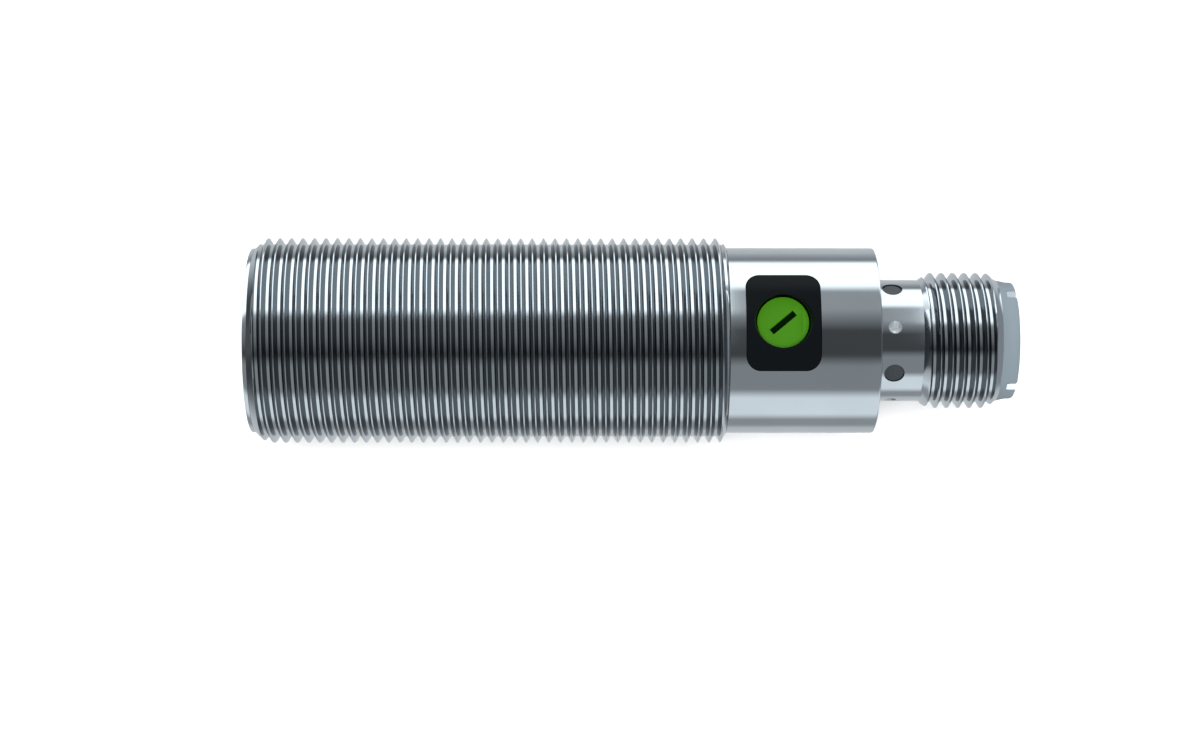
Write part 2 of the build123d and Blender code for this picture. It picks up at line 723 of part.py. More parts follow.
# ================================================================ adjuster bezel and screw

head_top = body_r - HEAD_SETBACK
head_bottom = head_top - HEAD_THICKNESS
gland_top = head_bottom - GAP
gland_bottom = gland_top - SEAL_CORD - 2 * SEAL_CLEARANCE
bezel_bottom = gland_bottom - BEZEL_FLOOR
gland_r = SHAFT_D / 2 + SEAL_CORD + 2 * SEAL_CLEARANCE
head_hole_r = HEAD_D / 2 + HEAD_CLEARANCE
gasket_inner_r = bore_r - PRESS_GAP - GASKET_THICKNESS
flange_arc_r = gasket_inner_r - PRESS_GAP


def flange_outline():
    """The rounded rectangle that the bezel's flange and its gasket share."""
    RectangleRounded(
        2 * bezel_half_length,
        2 * bezel_half_width,
        ADJUSTER_WINDOW_CORNER + BEZEL_FLANGE,
    )


def trim_outside(radius):
    """Cuts away everything further from the barrel's axis than that radius."""
    ends = (window_x - ADJUSTER_WINDOW_LENGTH, window_x + ADJUSTER_WINDOW_LENGTH)
    reach = m18_r + bezel_half_width
    turned([(ends[0], radius), (ends[1], radius), (ends[1], reach), (ends[0], reach)], mode=Mode.SUBTRACT)


with BuildPart() as adjuster_bezel:
    with BuildSketch(Plane.XY.offset(bezel_bottom)):
        with Locations((window_x, 0)):
            flange_outline()
    extrude(amount=m18_r - bezel_bottom)
    trim_outside(flange_arc_r)
    with BuildSketch(Plane.XY.offset(bezel_bottom)):
        with Locations((window_x, 0)):
            RectangleRounded(
                ADJUSTER_WINDOW_LENGTH - 2 * GAP,
                ADJUSTER_WINDOW_WIDTH - 2 * GAP,
                ADJUSTER_WINDOW_CORNER - GAP,
            )
    extrude(amount=m18_r - bezel_bottom)
    trim_outside(body_r - BEZEL_SINK)
    upright(bezel_bottom, gland_bottom, SHAFT_D / 2 + GAP, mode=Mode.SUBTRACT)
    upright(gland_bottom, gland_top, gland_r, mode=Mode.SUBTRACT)
    upright(gland_top, m18_r, head_hole_r, mode=Mode.SUBTRACT)
    with Locations((window_x, 0, body_r)):
        Cone(head_hole_r, head_hole_r + BEZEL_EDGE, 2 * BEZEL_EDGE, mode=Mode.SUBTRACT)
save(adjuster_bezel, "adjuster_bezel")

with BuildPart() as bezel_gasket:
    with BuildSketch(Plane.XY.offset(bezel_bottom)):
        with Locations((window_x, 0)):
            flange_outline()
            RectangleRounded(
                ADJUSTER_WINDOW_LENGTH,
                ADJUSTER_WINDOW_WIDTH,
                ADJUSTER_WINDOW_CORNER,
                mode=Mode.SUBTRACT,
            )
    extrude(amount=m18_r - bezel_bottom)
    trim_outside(bore_r - PRESS_GAP)
    with Locations(Location((window_x, 0, 0), (0, 90, 0))):
        Cylinder(gasket_inner_r, 2 * ADJUSTER_WINDOW_LENGTH, mode=Mode.SUBTRACT)
save(bezel_gasket, "bezel_gasket")

clip_top = bezel_bottom - GAP
clip_bottom = clip_top - CLIP_THICKNESS
shaft_bottom = rotor_top + 2 * GAP

with BuildPart() as adjuster_screw:
    upright(head_bottom, head_top, HEAD_D / 2)
    chamfer(adjuster_screw.edges().group_by(Axis.Z)[-1], EDGE_BREAK)
    upright(shaft_bottom, head_bottom, SHAFT_D / 2)
    upright(clip_bottom - PRESS_GAP, clip_top + PRESS_GAP, SHAFT_D, CLIP_GROOVE_D / 2, mode=Mode.SUBTRACT)
    with BuildSketch(Plane.XY.offset(rotor_top - BLADE_REACH + BLADE_CLEARANCE)):
        with Locations((window_x, 0)):
            Rectangle(BLADE_LENGTH, BLADE_THICKNESS, rotation=SLOT_ANGLE)
    extrude(amount=shaft_bottom - rotor_top + BLADE_REACH - BLADE_CLEARANCE)
    with BuildSketch(Plane.XY.offset(head_top)):
        with Locations((window_x, 0)):
            Rectangle(SLOT_LENGTH, SLOT_WIDTH, rotation=SLOT_ANGLE)
    extrude(amount=-SLOT_DEPTH, mode=Mode.SUBTRACT)
save(adjuster_screw, "adjuster_screw")

seal_centre_r = SHAFT_D / 2 + SEAL_CLEARANCE + SEAL_CORD / 2

with BuildPart() as adjuster_seal:
    with Locations((window_x, 0, (gland_bottom + gland_top) / 2)):
        Torus(seal_centre_r, SEAL_CORD / 2)
save(adjuster_seal, "adjuster_seal")

with BuildPart() as adjuster_clip:
    with BuildSketch(Plane.XY.offset(clip_bottom)):
        with Locations(Location((window_x, 0), SLOT_ANGLE)):
            Circle(CLIP_D / 2)
            Circle(CLIP_GROOVE_D / 2 + PRESS_GAP, mode=Mode.SUBTRACT)
            with Locations((CLIP_D / 2, 0)):
                Rectangle(CLIP_D, CLIP_MOUTH, mode=Mode.SUBTRACT)
    extrude(amount=CLIP_THICKNESS)
save(adjuster_clip, "adjuster_clip")

# ================================================================ plug shell

shell_start = rear_shoulder + GAP
flange_face = SLEEVE_LENGTH - GAP
neck_r = m12_r - NECK_STEP
neck_end = SLEEVE_LENGTH + NECK_LENGTH
m12_start = neck_end + M12_CHAMFER
m12_end = m12_start + M12_THREAD_LENGTH
tip_start = m12_end + TIP_CONE
band_start = tip_start + TIP_TAPER
shell_end = band_start + RIM_BAND
band_r = m12_r - RIM_BAND_STEP
cup_end = shell_start + CUP_DEPTH
liner_end = cup_end + LINER_LENGTH
shell_bore_r = SHELL_BORE_D / 2
liner_r = LINER_BORE_D / 2
shell_r = rear_bore_r - PRESS_GAP
groove_floor_r = rear_bore_r - SHELL_SEAL_CORD - 2 * GAP
groove_centre = SLEEVE_LENGTH - SEAL_GROOVE_SETBACK
led_x = SLEEVE_LENGTH + LED_HOLE_SETBACK

with BuildPart() as connector_shell:
    turned([
        (shell_start, CUP_D / 2),
        (shell_start, shell_r - EDGE_BREAK),
        (shell_start + EDGE_BREAK, shell_r),
        (groove_centre - SEAL_GROOVE_WIDTH / 2, shell_r),
        (groove_centre - SEAL_GROOVE_WIDTH / 2, groove_floor_r),
        (groove_centre + SEAL_GROOVE_WIDTH / 2, groove_floor_r),
        (groove_centre + SEAL_GROOVE_WIDTH / 2, shell_r),
        (flange_face, shell_r),
        (flange_face, neck_r),
        (neck_end, neck_r),
        (m12_start, m12_r),
        (m12_end, m12_r),
        (tip_start, neck_r),
        (band_start, band_r),
        (shell_end - MOUTH_CHAMFER, band_r),
        (shell_end, band_r - MOUTH_CHAMFER),
        (shell_end, shell_bore_r),
        (liner_end, shell_bore_r),
        (liner_end, liner_r),
        (cup_end, liner_r),
        (cup_end, CUP_D / 2),
    ])
    thread_grooves(m12_start + THREAD_PITCH / 2, m12_end - THREAD_PITCH / 2, m12_r)
    for i in range(LED_HOLES):
        with BuildSketch(radial_plane(led_x, LED_HOLE_START + i * 360 / LED_HOLES, CONTACT_CIRCLE_D / 2)):
            Circle(LED_HOLE_D / 2)
        extrude(amount=m12_r, mode=Mode.SUBTRACT)
        with BuildSketch(radial_plane(led_x, i * 360 / LED_HOLES, neck_r)):
            Circle(DIMPLE_D / 2)
        extrude(amount=-DIMPLE_DEPTH, taper=DIMPLE_TAPER, mode=Mode.SUBTRACT)
    for angle in NOTCH_ANGLES:
        with BuildSketch(radial_plane(shell_end, angle, CONTACT_CIRCLE_D / 2)):
            Rectangle(2 * NOTCH_DEPTH, NOTCH_WIDTH)
        extrude(amount=m12_r, mode=Mode.SUBTRACT)
save(connector_shell, "connector_shell")

with BuildPart() as shell_seal:
    with BuildSketch(Plane.XY):
        with Locations((groove_centre, (groove_floor_r + rear_bore_r) / 2)):
            Circle(SHELL_SEAL_CORD / 2)
    revolve(axis=Axis.X)
save(shell_seal, "shell_seal")

# ================================================================ plug contacts

contact_offset = CONTACT_CIRCLE_D / 2 / sqrt(2)         # of each contact, across and up
contact_signs = ((1, 1), (-1, 1), (-1, -1), (1, -1))
contact_places = [(y * contact_offset, z * contact_offset) for y, z in contact_signs]

potting_start = shell_start + GAP
potting_end = cup_end - GAP
led_board_start = cup_end + 2 * GAP
led_board_end = led_board_start + LED_BOARD_THICKNESS
led_top = led_board_end + PRESS_GAP + LED_HEIGHT
boss_start = led_board_end + 3 * GAP
carrier_start = liner_end + PRESS_GAP
carrier_face = carrier_start + CARRIER_THICKNESS
carrier_r = shell_bore_r - PRESS_GAP
tail_end = potting_start - TAIL_REACH

with BuildPart() as contact_carrier:
    disc(carrier_start, CARRIER_THICKNESS, carrier_r)
    disc(boss_start, carrier_start - boss_start, CARRIER_BOSS_D / 2)
    with BuildSketch(Plane.YZ.offset(carrier_face)):
        with Locations((0, shell_bore_r - KEY_HEIGHT / 2)):
            Rectangle(KEY_WIDTH, KEY_HEIGHT)
        Circle(carrier_r, mode=Mode.INTERSECT)
    extrude(amount=KEY_LENGTH)
    disc(
        boss_start,
        carrier_face - boss_start,
        CONTACT_D / 2 + PRESS_GAP,
        places=contact_places,
        mode=Mode.SUBTRACT,
    )
save(contact_carrier, "contact_carrier")

with BuildPart() as contact_pins:
    disc(boss_start, carrier_face + CONTACT_LENGTH - boss_start, CONTACT_D / 2, places=contact_places)
    fillet(contact_pins.edges().group_by(Axis.X)[-1], CONTACT_TIP)
    disc(tail_end, boss_start - tail_end, TAIL_D / 2, places=contact_places)
save(contact_pins, "contact_pins")

wire_r = WIRE_D / 2
wire_start = tail_end - PRESS_GAP
wire_bend_x = wire_start - WIRE_RUN
wire_down_x = window_x + TRIMMER_SIDE / 2 + WIRE_D + 2 * GAP
pad_z = board_top + PRESS_GAP + wire_r

with BuildPart() as contact_wires:
    for y, z in contact_signs:
        with BuildLine() as route:
            FilletPolyline(
                (wire_start, y * contact_offset, z * contact_offset),
                (wire_bend_x, y * contact_offset, z * contact_offset),
                (wire_down_x, y * WIRE_PAD_Y, z * pad_z),
                (wire_down_x - WIRE_LANDING, y * WIRE_PAD_Y, z * pad_z),
                radius=WIRE_BEND,
            )
        with BuildSketch(Plane(origin=route.wire() @ 0, z_dir=route.wire() % 0)):
            Circle(wire_r)
        sweep(path=route.wire())
save(contact_wires, "contact_wires")

with BuildPart() as potting_plug:
    disc(potting_start, potting_end - potting_start, CUP_D / 2 - PRESS_GAP)
    disc(
        potting_start,
        potting_end - potting_start,
        TAIL_D / 2 + PRESS_GAP,
        places=contact_places,
        mode=Mode.SUBTRACT,
    )
save(potting_plug, "potting_plug")

# ================================================================ indicator lights

led_angles = [LED_HOLE_START + i * 360 / LED_HOLES for i in range(LED_HOLES)]
guide_start = led_top + GAP
guide_end = liner_end - GAP
guide_r = liner_r - GAP

with BuildPart() as led_board:
    disc(led_board_start, LED_BOARD_THICKNESS, liner_r - 2 * GAP)
    disc(
        led_board_start,
        LED_BOARD_THICKNESS,
        TAIL_D / 2 + PRESS_GAP,
        places=contact_places,
        mode=Mode.SUBTRACT,
    )
save(led_board, "led_board")

with BuildPart() as status_leds:
    with BuildSketch(Plane.YZ.offset(led_board_end + PRESS_GAP)):
        for angle in led_angles:
            out = (LED_CIRCLE_D / 2 * sin(radians(angle)), LED_CIRCLE_D / 2 * cos(radians(angle)))
            with Locations(Location(out, -angle)):
                Rectangle(LED_SIZE, LED_SIZE)
    extrude(amount=LED_HEIGHT)
save(status_leds, "status_leds")

with BuildPart() as light_guide:
    disc(guide_start, guide_end - guide_start, guide_r, GUIDE_BORE_D / 2)
    for angle in led_angles:
        with BuildSketch(radial_plane(led_x, angle, (guide_r + GUIDE_BORE_D / 2) / 2)):
            Circle(LED_HOLE_D / 2 - GAP)
        extrude(amount=neck_r - PIP_SETBACK - (guide_r + GUIDE_BORE_D / 2) / 2)
save(light_guide, "light_guide")
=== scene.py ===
"""Looks for the barrel photoelectric sensor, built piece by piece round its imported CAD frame.

Axes: +X runs along the barrel from the sensing face to the plug, and +Z points out through the adjuster.
"""

from math import ceil, cos, pi, radians, sin, sqrt

import bmesh
import bpy
from mathutils import Matrix, Vector


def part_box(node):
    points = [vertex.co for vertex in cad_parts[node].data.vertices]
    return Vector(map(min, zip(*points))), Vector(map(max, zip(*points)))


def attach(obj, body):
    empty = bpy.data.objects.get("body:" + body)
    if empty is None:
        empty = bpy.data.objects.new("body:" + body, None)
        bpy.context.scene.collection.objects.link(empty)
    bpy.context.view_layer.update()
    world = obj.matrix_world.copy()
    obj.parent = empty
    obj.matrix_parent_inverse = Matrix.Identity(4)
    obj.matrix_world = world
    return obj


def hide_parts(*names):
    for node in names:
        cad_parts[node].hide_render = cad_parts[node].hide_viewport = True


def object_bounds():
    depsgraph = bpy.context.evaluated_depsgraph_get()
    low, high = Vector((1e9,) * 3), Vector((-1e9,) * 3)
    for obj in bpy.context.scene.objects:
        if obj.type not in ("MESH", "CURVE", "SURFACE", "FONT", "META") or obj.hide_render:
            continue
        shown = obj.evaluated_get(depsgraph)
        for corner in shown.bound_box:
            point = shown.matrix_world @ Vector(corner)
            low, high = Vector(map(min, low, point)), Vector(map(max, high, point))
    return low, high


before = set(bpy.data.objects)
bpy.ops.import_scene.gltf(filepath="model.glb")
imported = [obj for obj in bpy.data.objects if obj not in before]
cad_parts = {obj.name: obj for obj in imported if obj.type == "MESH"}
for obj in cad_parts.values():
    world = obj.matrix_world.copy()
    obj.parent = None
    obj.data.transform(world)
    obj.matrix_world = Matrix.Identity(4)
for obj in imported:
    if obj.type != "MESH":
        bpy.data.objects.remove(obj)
cad_low, cad_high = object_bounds()

# ---------------------------------------------------------------- camera
# A short tele lens close over the barrel. It leans a little towards -Y, so the adjuster, which faces
# straight up, shows just above the barrel's middle line.

mm = 0.001
lean = radians(12.5)
camera_reach = 228 * mm
foot = Vector((27.5 * mm, 0, 0))      # the point of the barrel's axis that the camera stands over
aim = Vector((30.4 * mm, -2.57 * mm, -0.57 * mm))

camera_data = bpy.data.cameras.new("camera")
camera_data.lens = 78.0
camera_data.sensor_width = 36.0
camera_data.clip_start = 10 * mm
camera_data.clip_end = 50.0
camera = bpy.data.objects.new("camera", camera_data)
bpy.context.collection.objects.link(camera)
camera.location = foot + camera_reach * Vector((0, -sin(lean), cos(lean)))
forward = (aim - camera.location).normalized()
rightward = (Vector((1, 0, 0)) - forward.x * forward).normalized()
upward = rightward.cross(forward)
camera.rotation_mode = "QUATERNION"
camera.rotation_quaternion = Matrix((rightward, upward, -forward)).transposed().to_quaternion()
bpy.context.scene.camera = camera
bpy.context.scene.view_settings.view_transform = "Standard"

# ---------------------------------------------------------------- floor
# A wide sheet of matt white paper, with the barrel's crests resting on it. It is kept out of the steel's
# reflections, so that the panels round the barrel do all of that work.

floor_mesh = bpy.data.meshes.new("floor")
floor_reach = 4.0
floor_z = cad_low.z
corners = [(-1, -1), (1, -1), (1, 1), (-1, 1)]
floor_mesh.from_pydata([(x * floor_reach, y * floor_reach, floor_z) for x, y in corners], [], [(0, 1, 2, 3)])
floor = bpy.data.objects.new("floor", floor_mesh)
bpy.context.collection.objects.link(floor)
floor.visible_glossy = False

paper = bpy.data.materials.new("paper")
paper.use_nodes = True
paper_shader = paper.node_tree.nodes["Principled BSDF"]
paper_shader.inputs["Base Color"].default_value = (0.93, 0.93, 0.93, 1)
paper_shader.inputs["Roughness"].default_value = 0.9
paper_shader.inputs["Specular IOR Level"].default_value = 0.1
floor_mesh.materials.append(paper)

# ---------------------------------------------------------------- studio light
# Steel turned this smooth is only what it mirrors, so the room is a ring of panels round the barrel's
# axis: dark overhead, a strip light on the far side and a pale wall on the near side.

world = bpy.data.worlds.new("studio")
bpy.context.scene.world = world
world.use_nodes = True
sky = world.node_tree
sky.nodes.clear()
look = sky.nodes.new("ShaderNodeTexCoord")
split = sky.nodes.new("ShaderNodeSeparateXYZ")
over = sky.nodes.new("ShaderNodeMath")
over.operation = "ARCTAN2"
share = sky.nodes.new("ShaderNodeMapRange")
share.inputs["From Min"].default_value = -pi
share.inputs["From Max"].default_value = pi
ring = sky.nodes.new("ShaderNodeValToRGB")
background = sky.nodes.new("ShaderNodeBackground")
sky_out = sky.nodes.new("ShaderNodeOutputWorld")
sky.links.new(look.outputs["Generated"], split.inputs[0])
sky.links.new(split.outputs["Y"], over.inputs[0])
sky.links.new(split.outputs["Z"], over.inputs[1])


def eased(source, low, high, at_low, at_high):
    """A smooth step from one value to another while the source goes from low to high."""
    step = sky.nodes.new("ShaderNodeMapRange")
    step.interpolation_type = "SMOOTHSTEP"
    for label, value in (("From Min", low), ("From Max", high), ("To Min", at_low), ("To Max", at_high)):
        step.inputs[label].default_value = value
    sky.links.new(source, step.inputs["Value"])
    return step.outputs["Result"]


MIX_A, MIX_B, MIX_COLOUR = 6, 7, 2      # the colour sockets of a Mix node

# the sensing end faces a dark wall and the plug's end a grey one
front_wall = eased(split.outputs["X"], -0.95, -0.55, 0.25, 1.7)
rear_wall = sky.nodes.new("ShaderNodeMix")
rear_wall.data_type = "RGBA"
rear_wall.inputs[MIX_B].default_value = (0.17, 0.18, 0.19, 1)
sky.links.new(over.outputs[0], share.inputs["Value"])
sky.links.new(share.outputs["Result"], ring.inputs["Fac"])
sky.links.new(eased(split.outputs["X"], 0.55, 0.85, 0, 1), rear_wall.inputs[0])
sky.links.new(ring.outputs["Color"], rear_wall.inputs[MIX_A])
sky.links.new(rear_wall.outputs[MIX_COLOUR], background.inputs["Color"])
sky.links.new(front_wall, background.inputs["Strength"])
sky.links.new(background.outputs[0], sky_out.inputs["Surface"])

# each panel: the degrees from straight up, towards +Y, between which it stands, and its brightness
panels = [
    (-180, -152, 0.36), (-142, -128, 0.21), (-116, -88, 0.56), (-76, -44, 0.175), (-31, 0, 0.041),
    (27, 51, 0.23), (60, 98, 1.00), (105, 110, 0.18), (128, 180, 0.36),
]


def fill_ramp(ramp, stops):
    """Sets a colour ramp that goes once round the axis, from (degrees from straight up, level) stops."""
    while len(ramp.elements) < len(stops):
        ramp.elements.new(0.5)
    for stop, (degrees_over, level) in zip(ramp.elements, stops):
        stop.position = (degrees_over + 180) / 360
        stop.color = (level * 0.97, level, level * 1.02, 1)     # a touch of daylight blue


fill_ramp(ring.color_ramp, [(end, level) for start, stop, level in panels for end in (start, stop)])

# a broad soft light from overhead, as even on the far paper as on the near
overhead_data = bpy.data.lights.new("overhead", "SUN")
overhead_data.angle = radians(58)
overhead_data.energy = 4.9
overhead = bpy.data.objects.new("overhead", overhead_data)
overhead.rotation_euler = (radians(11), 0, 0)
overhead.visible_glossy = False
bpy.context.collection.objects.link(overhead)

# A curved card hangs over each thread to fill its grooves with light: bright on the far side, fading to
# almost nothing on the near side. Only what mirrors it sees it.
card_glow = bpy.data.materials.new("card_glow")
card_glow.use_nodes = True
glow = card_glow.node_tree
glow.nodes.clear()
card_place = glow.nodes.new("ShaderNodeTexCoord")
card_split = glow.nodes.new("ShaderNodeSeparateXYZ")
card_angle = glow.nodes.new("ShaderNodeMath")
card_angle.operation = "ARCTAN2"
card_share = glow.nodes.new("ShaderNodeMapRange")
card_share.inputs["From Min"].default_value = -pi
card_share.inputs["From Max"].default_value = pi
card_ring = glow.nodes.new("ShaderNodeValToRGB")
card_light = glow.nodes.new("ShaderNodeEmission")
card_light.inputs["Strength"].default_value = 1.7
card_out = glow.nodes.new("ShaderNodeOutputMaterial")
glow.links.new(card_place.outputs["Object"], card_split.inputs[0])
glow.links.new(card_split.outputs["Y"], card_angle.inputs[0])
glow.links.new(card_split.outputs["Z"], card_angle.inputs[1])
glow.links.new(card_angle.outputs[0], card_share.inputs["Value"])
glow.links.new(card_share.outputs["Result"], card_ring.inputs["Fac"])
glow.links.new(card_ring.outputs["Color"], card_light.inputs["Color"])
glow.links.new(card_light.outputs[0], card_out.inputs["Surface"])
near_edge, far_edge = -28, 62           # degrees from straight up, towards +Y
fill_ramp(card_ring.color_ramp, [
    (near_edge, 0.035), (-8, 0.12), (8, 0.16), (15, 0.26), (23, 1.0), (far_edge, 1.0),
])

card_reach = 70 * mm
card_steps = 44
card_spans = [(-90 * mm, 44.9 * mm), (67.6 * mm, 77.5 * mm)]       # over the barrel's thread and the plug's
for card_start, card_end in card_spans:
    rim = []
    for step in range(card_steps + 1):
        theta = radians(near_edge + step * (far_edge - near_edge) / card_steps)
        rim.append((card_reach * sin(theta), card_reach * cos(theta)))
    card_verts = [(x, y, z) for x in (card_start, card_end) for y, z in rim]
    card_faces = [(i, i + 1, i + card_steps + 2, i + card_steps + 1) for i in range(card_steps)]
    card_mesh = bpy.data.meshes.new("card")
    card_mesh.from_pydata(card_verts, [], card_faces)
    card_mesh.materials.append(card_glow)
    card = bpy.data.objects.new("card", card_mesh)
    card.visible_camera = False
    card.visible_diffuse = False
    card.visible_shadow = False
    card.visible_transmission = False
    bpy.context.collection.objects.link(card)

# ---------------------------------------------------------------- threaded sleeve
# The housing: one length of stainless steel bar, bored, turned to 17.9 mm and thread-cut M18 x 1 from the
# chamfered nose to the smooth stretch, where the adjuster's window is milled through the wall. Everything
# else is fitted into it.

COLUMNS = 288
PITCH = 1.0 * mm
THREAD_DEPTH = 0.55 * mm
# one pitch of the thread: share of the pitch, and depth below the crest in shares of the thread's depth
THREAD_FORM = [
    (0.000, 0.040), (0.024, 0.000), (0.101, 0.000), (0.125, 0.040), (0.230, 0.360), (0.336, 0.680),
    (0.436, 0.985), (0.446, 1.000), (0.679, 1.000), (0.689, 0.985), (0.789, 0.680), (0.895, 0.360),
]


def plain_rows(corners):
    """Rings of a turned shape, from (place along the axis, radius) corners."""
    return [[corner] * COLUMNS for corner in corners]


def thread_rows(start, end, crest_r, blank_r):
    """Rows that follow a right-hand thread; blank_r gives the radius of the bar that it is cut into."""
    rows = []
    for turn in range(ceil((end - start) / PITCH) + 2):
        for place, depth in THREAD_FORM:
            row = []
            for column in range(COLUMNS):
                along = start + (turn - 1 + place + column / COLUMNS) * PITCH
                along = min(max(along, start), end)
                row.append((along, min(crest_r - depth * THREAD_DEPTH, blank_r(along))))
            rows.append(row)
    return rows


def turned_mesh(name, before, thread=(), after=()):
    """A closed mesh turned about X: plain rings, then a thread's rows if it has them, then plain rings."""
    rows = before + list(thread) + list(after)
    first, last = len(before), len(before) + len(thread) - 1
    turning = bmesh.new()
    grid = []
    for row in rows:
        hoop = []
        for column, (along, radius) in enumerate(row):
            theta = 2 * pi * column / COLUMNS
            hoop.append(turning.verts.new((along, radius * cos(theta), radius * sin(theta))))
        grid.append(hoop)
    for i in range(len(rows)):
        j = (i + 1) % len(rows)
        for column in range(COLUMNS):
            beside = (column + 1) % COLUMNS
            i_beside, j_beside = i, j
            if beside == 0 and first <= i < last:       # a thread comes round one pitch further on
                i_beside = min(i + len(THREAD_FORM), last)
                j_beside = min(j + len(THREAD_FORM), last)
            around = [grid[i][column], grid[j][column], grid[j_beside][beside]]
            if i_beside != j_beside:
                around.append(grid[i_beside][beside])
            turning.faces.new(around)
    bmesh.ops.remove_doubles(turning, verts=turning.verts, dist=1e-7)      # closes the poles on the axis
    bmesh.ops.dissolve_degenerate(turning, edges=turning.edges, dist=1e-8)
    bmesh.ops.recalc_face_normals(turning, faces=turning.faces)
    mesh = bpy.data.meshes.new(name)
    turning.to_mesh(mesh)
    turning.free()
    return mesh


def new_piece(name, mesh):
    """Puts a mesh in the scene as a piece of that name."""
    piece = bpy.data.objects.new(name, mesh)
    bpy.context.collection.objects.link(piece)
    return piece


def rounded_prism(name, length, width, corner, centre_x, bottom, top):
    """An upright prism over a rounded rectangle, centred on the adjuster's axis."""
    steps = 12
    outline = []
    for quarter, (sx, sy) in enumerate([(1, 1), (-1, 1), (-1, -1), (1, -1)]):
        for step in range(steps + 1):
            theta = (quarter + step / steps) * pi / 2
            outline.append((
                centre_x + sx * (length / 2 - corner) + corner * cos(theta),
                sy * (width / 2 - corner) + corner * sin(theta),
            ))
    count = len(outline)
    verts = [(x, y, bottom) for x, y in outline] + [(x, y, top) for x, y in outline]
    sides = [(i, (i + 1) % count, count + (i + 1) % count, count + i) for i in range(count)]
    ends = [tuple(reversed(range(count))), tuple(range(count, 2 * count))]
    mesh = bpy.data.meshes.new(name)
    mesh.from_pydata(verts, [], sides + ends)
    return mesh


def machined(piece, cuts):
    """Applies boolean cuts, each (operation, cutter mesh), to a piece's mesh."""
    cutters = []
    for operation, cutter_mesh in cuts:
        cutter = new_piece("cutter", cutter_mesh)
        cutters.append(cutter)
        cut = piece.modifiers.new("cut", "BOOLEAN")
        cut.operation = operation
        cut.solver = "EXACT"
        cut.object = cutter
    depsgraph = bpy.context.evaluated_depsgraph_get()
    finished = bpy.data.meshes.new_from_object(piece.evaluated_get(depsgraph))
    piece.modifiers.clear()
    piece.data = finished
    for cutter in cutters:
        bpy.data.objects.remove(cutter)


def smooth_shading(piece, round_radii=()):
    """Smooth normals with sharp corners; faces at those radii from the barrel's axis get true round ones."""
    near_enough = 0.004 * mm
    mesh = piece.data
    mesh.shade_smooth()
    mesh.set_sharp_from_angle(angle=radians(34))
    if not round_radii:
        return
    normals = [(0.0, 0.0, 0.0)] * len(mesh.loops)
    for face in mesh.polygons:
        radii = [sqrt(mesh.vertices[v].co.y ** 2 + mesh.vertices[v].co.z ** 2) for v in face.vertices]
        if not any(all(abs(r - wanted) < near_enough for r in radii) for wanted in round_radii):
            continue
        outward = face.normal.y * face.center.y + face.normal.z * face.center.z
        facing = 1 if outward > 0 else -1
        for loop in face.loop_indices:
            co = mesh.vertices[mesh.loops[loop].vertex_index].co
            normals[loop] = tuple(facing * Vector((0, co.y, co.z)).normalized())
    mesh.normals_split_custom_set(normals)


sleeve_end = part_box("threaded_sleeve")[1].x
m18_r = 17.9 * mm / 2
body_r = m18_r - 0.85 * mm
rim_r = m18_r - 0.9 * mm
rim_length = 0.35 * mm
thread_end = sleeve_end - 13.35 * mm
smooth_start = thread_end + (m18_r - body_r) / sqrt(3)
bore_r = body_r - 0.7 * mm
rear_bore_r = body_r - 0.5 * mm
rear_shoulder = sleeve_end - 4.2 * mm
pocket_r = rim_r - 0.85 * mm
pocket_depth = 2.1 * mm
lip_r = pocket_r - 0.7 * mm
lip_end = pocket_depth + 0.9 * mm
edge = 0.12 * mm                        # the broken edge that the lathe leaves on every corner
clear_z = 12 * mm                       # above everything


def sleeve_blank(along):
    """Radius of the turned bar before its thread is cut."""
    nose = rim_r + max(0.0, along - rim_length)
    tail = body_r + (smooth_start - along) * sqrt(3)
    return min(m18_r, nose, tail)


window_low, window_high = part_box("adjuster_bezel")
window_x = (window_low.x + window_high.x) / 2
window_length, window_width, window_corner = 6.4 * mm, 8.4 * mm, 1.25 * mm

sleeve = new_piece("sleeve", turned_mesh(
    "sleeve",
    plain_rows([
        (rear_shoulder, bore_r), (lip_end, bore_r), (lip_end, lip_r), (pocket_depth, lip_r),
        (pocket_depth, pocket_r), (edge / 2, pocket_r), (0, pocket_r + edge / 2), (0, rim_r - edge),
        (edge * 0.3, rim_r - edge * 0.3), (edge, rim_r),
    ]),
    thread_rows(rim_length, smooth_start, m18_r, sleeve_blank),
    plain_rows([
        (sleeve_end - edge, body_r), (sleeve_end - edge * 0.3, body_r - edge * 0.3),
        (sleeve_end, body_r - edge), (sleeve_end, rear_bore_r), (rear_shoulder, rear_bore_r),
    ]),
))
opening = rounded_prism("opening", window_length, window_width, window_corner, window_x, 1 * mm, clear_z)
machined(sleeve, [("DIFFERENCE", opening)])
smooth_shading(sleeve, (body_r, bore_r))


def effect_group(name, inputs, outputs):
    """An empty shader node group with those float inputs and outputs, and its two end nodes."""
    group = bpy.data.node_groups.new(name, "ShaderNodeTree")
    for label, value in inputs.items():
        socket = group.interface.new_socket(label, in_out="INPUT", socket_type="NodeSocketFloat")
        socket.default_value = value
    for label in outputs:
        group.interface.new_socket(label, in_out="OUTPUT", socket_type="NodeSocketFloat")
    return group, group.nodes.new("NodeGroupInput"), group.nodes.new("NodeGroupOutput")


